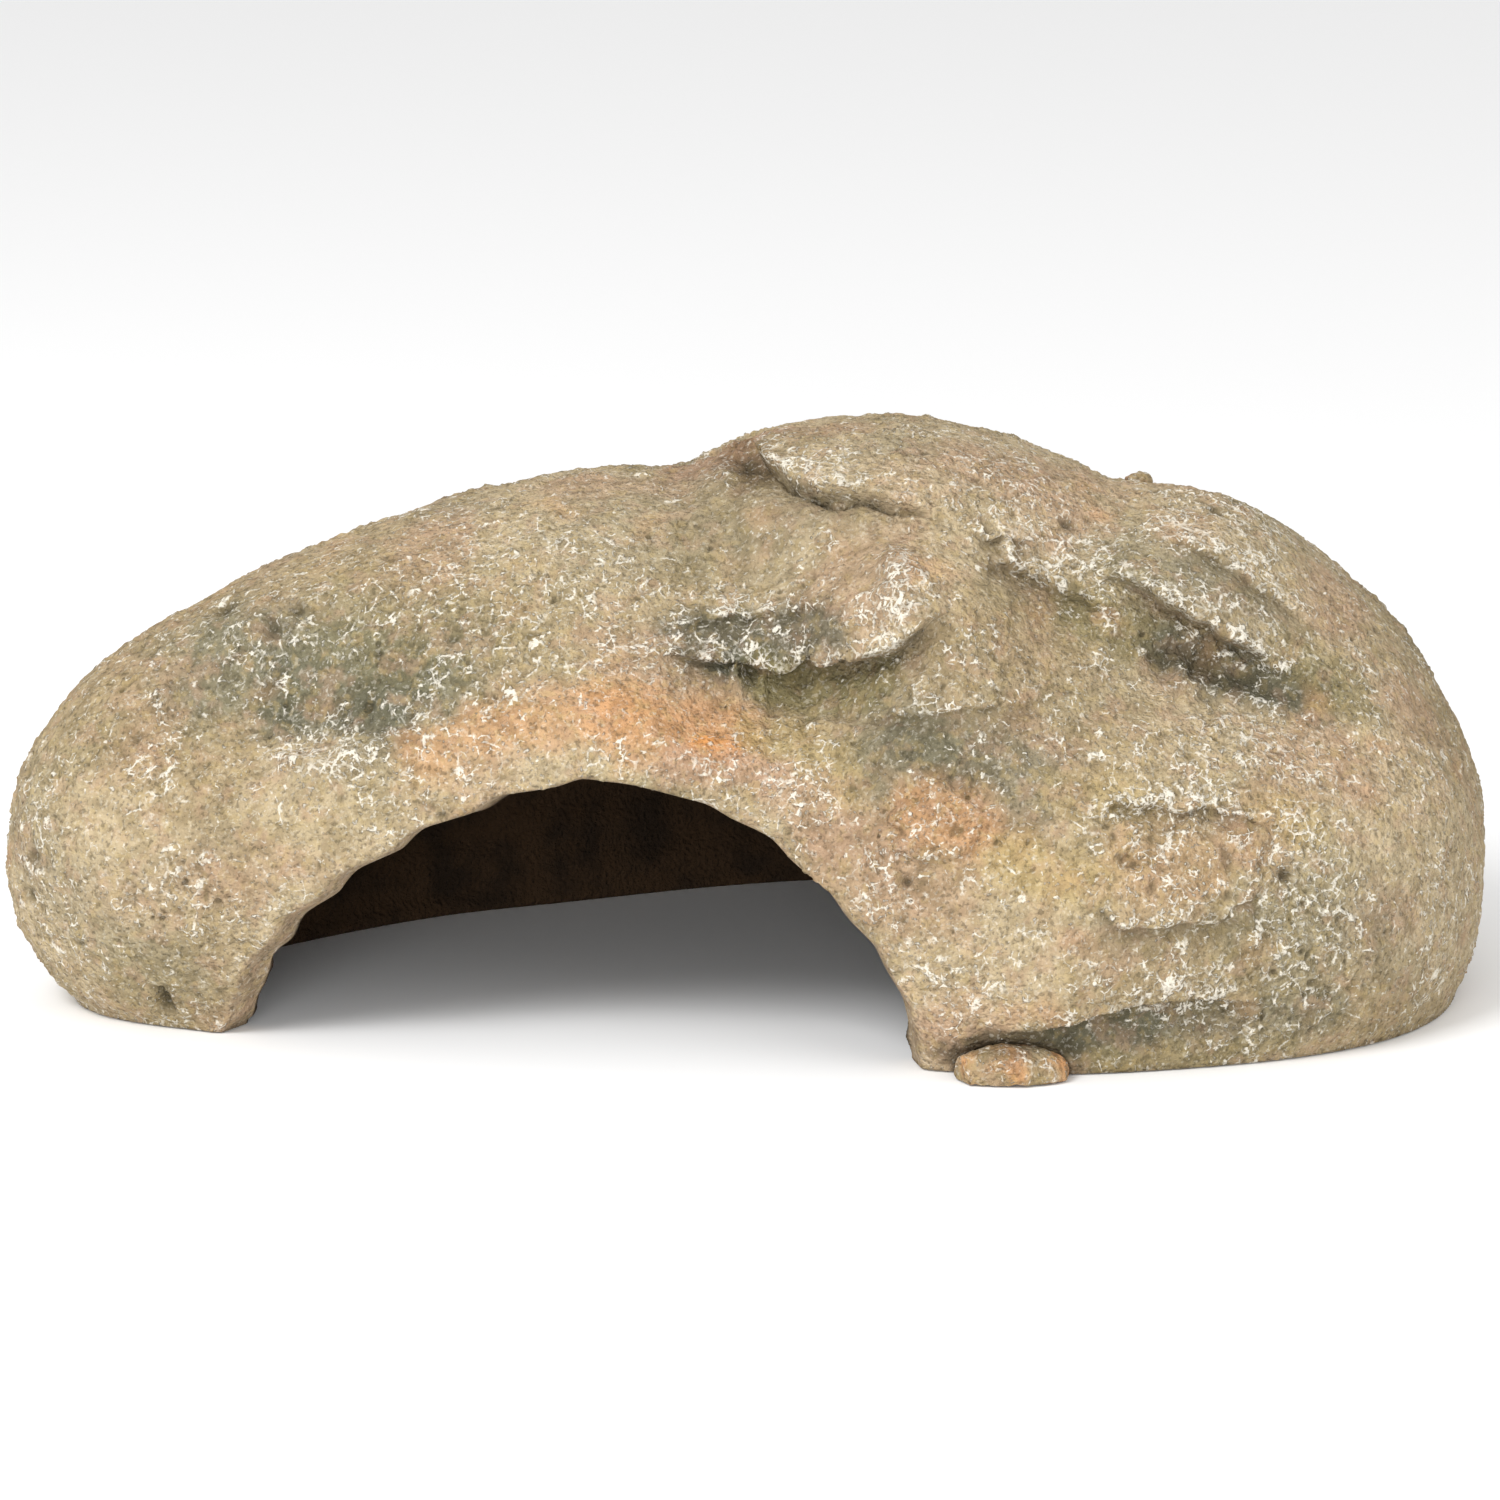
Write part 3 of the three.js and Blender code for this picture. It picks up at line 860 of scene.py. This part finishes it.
def tinted(nodes, mottle):
    """The wash of colour stored on the surface, mottled and tinted."""
    colour = nodes.mix(nodes.times(mottle, MOTTLE), nodes.attribute("paint", "Color"),
                       paint_colour("olive"), "MULTIPLY")
    for paint, size, fade, strength in TINTS:
        patch = nodes.step(nodes.noise(size, 4), *fade)
        colour = nodes.mix(nodes.times(patch, strength), colour, paint_colour(paint))
    return colour


def hollows(nodes, relief):
    """How dark the wash that settled in the crevices, pores and pits is, and the painted shade in the
    grooves, below the ledges and folds and round the foot stone.
    """
    crevice = nodes.times(nodes.step(relief, -0.05, -0.35), CREVICE)
    pores = nodes.times(nodes.step(nodes.noise(PORE_SIZE), 0.44, 0.34), PORES)
    deepest = nodes.math("MAXIMUM", nodes.math("MAXIMUM", crevice, pores), nodes.attribute("wash_and_shade"))
    return nodes.times(deepest, DARKEST)


def painted_resin(name):
    """Cast resin: a coloured wash, darker in the hollows, with painted shade in the cracks and below the
    ledges, dry-brushed along the raised edges.
    """
    nodes = Nodes(name)
    relief = nodes.attribute("relief")
    mottle = nodes.step(nodes.noise(MOTTLE_SIZE, 5), 0.38, 0.64)
    colour = nodes.mix(hollows(nodes, relief), tinted(nodes, mottle), paint_colour("wash_and_shade"))
    pale_grain = nodes.step(nodes.noise(PALE_GRAIN_SIZE), 0.55, 0.66)
    colour = nodes.mix(nodes.times(pale_grain, PALE_GRAIN), colour, paint_colour("dust"))
    flecks = pale_flecks(nodes, relief, nodes.attribute("dusting"))
    colour = nodes.mix(nodes.times(flecks, FLECKS), colour, paint_colour("dust"))
    interior = nodes.mix(nodes.step(nodes.noise(INTERIOR_PATCH, 4), 0.4, 0.65),
                         paint_colour("interior"), paint_colour("soot"))
    colour = nodes.mix(nodes.attribute("inside"), colour, interior)
    nodes.feed(nodes.shader.inputs["Base Color"], colour)
    rough = nodes.plus(nodes.times(mottle, ROUGHNESS_VARIES), ROUGHNESS)
    nodes.feed(nodes.shader.inputs["Roughness"], rough)
    nodes.shader.inputs["Specular IOR Level"].default_value = SHINE
    coarse = nodes.bump(nodes.noise(BUMP_SIZE, 6), 1.0, 1.0)
    nodes.feed(nodes.shader.inputs["Normal"], nodes.bump(flecks, 0.6, 0.15, coarse))
    return nodes.material


def plain_floor_material():
    nodes = Nodes("floor_white")
    nodes.shader.inputs["Base Color"].default_value = (FLOOR_WHITE, FLOOR_WHITE, FLOOR_WHITE, 1)
    nodes.shader.inputs["Roughness"].default_value = FLOOR_ROUGHNESS
    return nodes.material


# Stage.

def make_floor():
    bpy.ops.mesh.primitive_plane_add(size=FLOOR_SIZE, location=(0, 0, -FLOOR_DROP))
    floor = bpy.context.object
    floor.name = "floor"
    floor.data.materials.append(plain_floor_material())


def make_light(name, place, size, power):
    data = bpy.data.lights.new(name, "AREA")
    data.size = size
    data.energy = power
    light = bpy.data.objects.new(name, data)
    light.location = place
    light.rotation_euler = (-Vector(place)).to_track_quat("-Z", "Y").to_euler()
    bpy.context.scene.collection.objects.link(light)


def make_lights():
    world = bpy.data.worlds.new("studio")
    bpy.context.scene.world = world
    world.use_nodes = True
    background = world.node_tree.nodes["Background"]
    background.inputs["Color"].default_value = (1, 1, 1, 1)
    background.inputs["Strength"].default_value = DAYLIGHT
    for name, place, size, power in LIGHTS:
        make_light(name, place, size, power)


def make_camera():
    aim = np.array([BOX_MIDDLE[0], BOX_MIDDLE[1] - AIM_FORWARD * BOX_SIZE[1], BOX_MIDDLE[2]])
    rise = math.radians(CAMERA_RISE)
    place = aim + CAMERA_DISTANCE * np.array([0, -math.cos(rise), math.sin(rise)])
    data = bpy.data.cameras.new("camera")
    data.lens = CAMERA_LENS
    data.sensor_width = SENSOR
    camera = bpy.data.objects.new("camera", data)
    camera.location = Vector(place * MM)
    camera.rotation_euler = (math.radians(90 - CAMERA_RISE), 0, 0)
    bpy.context.scene.collection.objects.link(camera)
    bpy.context.scene.camera = camera


def finish_piece(piece, node, material):
    piece.data.materials.append(material)
    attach(piece, "root")
    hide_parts(node)


def make_shell():
    shell = remeshed_copy("cave_shell", "rock_shell", SHELL_VOXEL, SHELL_ROUNDING)
    sculpt_shell(shell)
    finish_piece(shell, "cave_shell", painted_resin("painted_rock"))


def make_stones():
    material = painted_resin("painted_stone")
    for node, paint, shade in (("foot_stone", "orange", STONE_SHADE), ("crest_pebble", "pink", 0)):
        stone = remeshed_copy(node, node + "_rock", STONE_VOXEL, STONE_ROUNDING)
        sculpt_stone(stone, paint, shade)
        finish_piece(stone, node, material)


make_shell()
make_stones()
make_floor()
make_lights()
make_camera()
bpy.context.scene.view_settings.view_transform = "Standard"
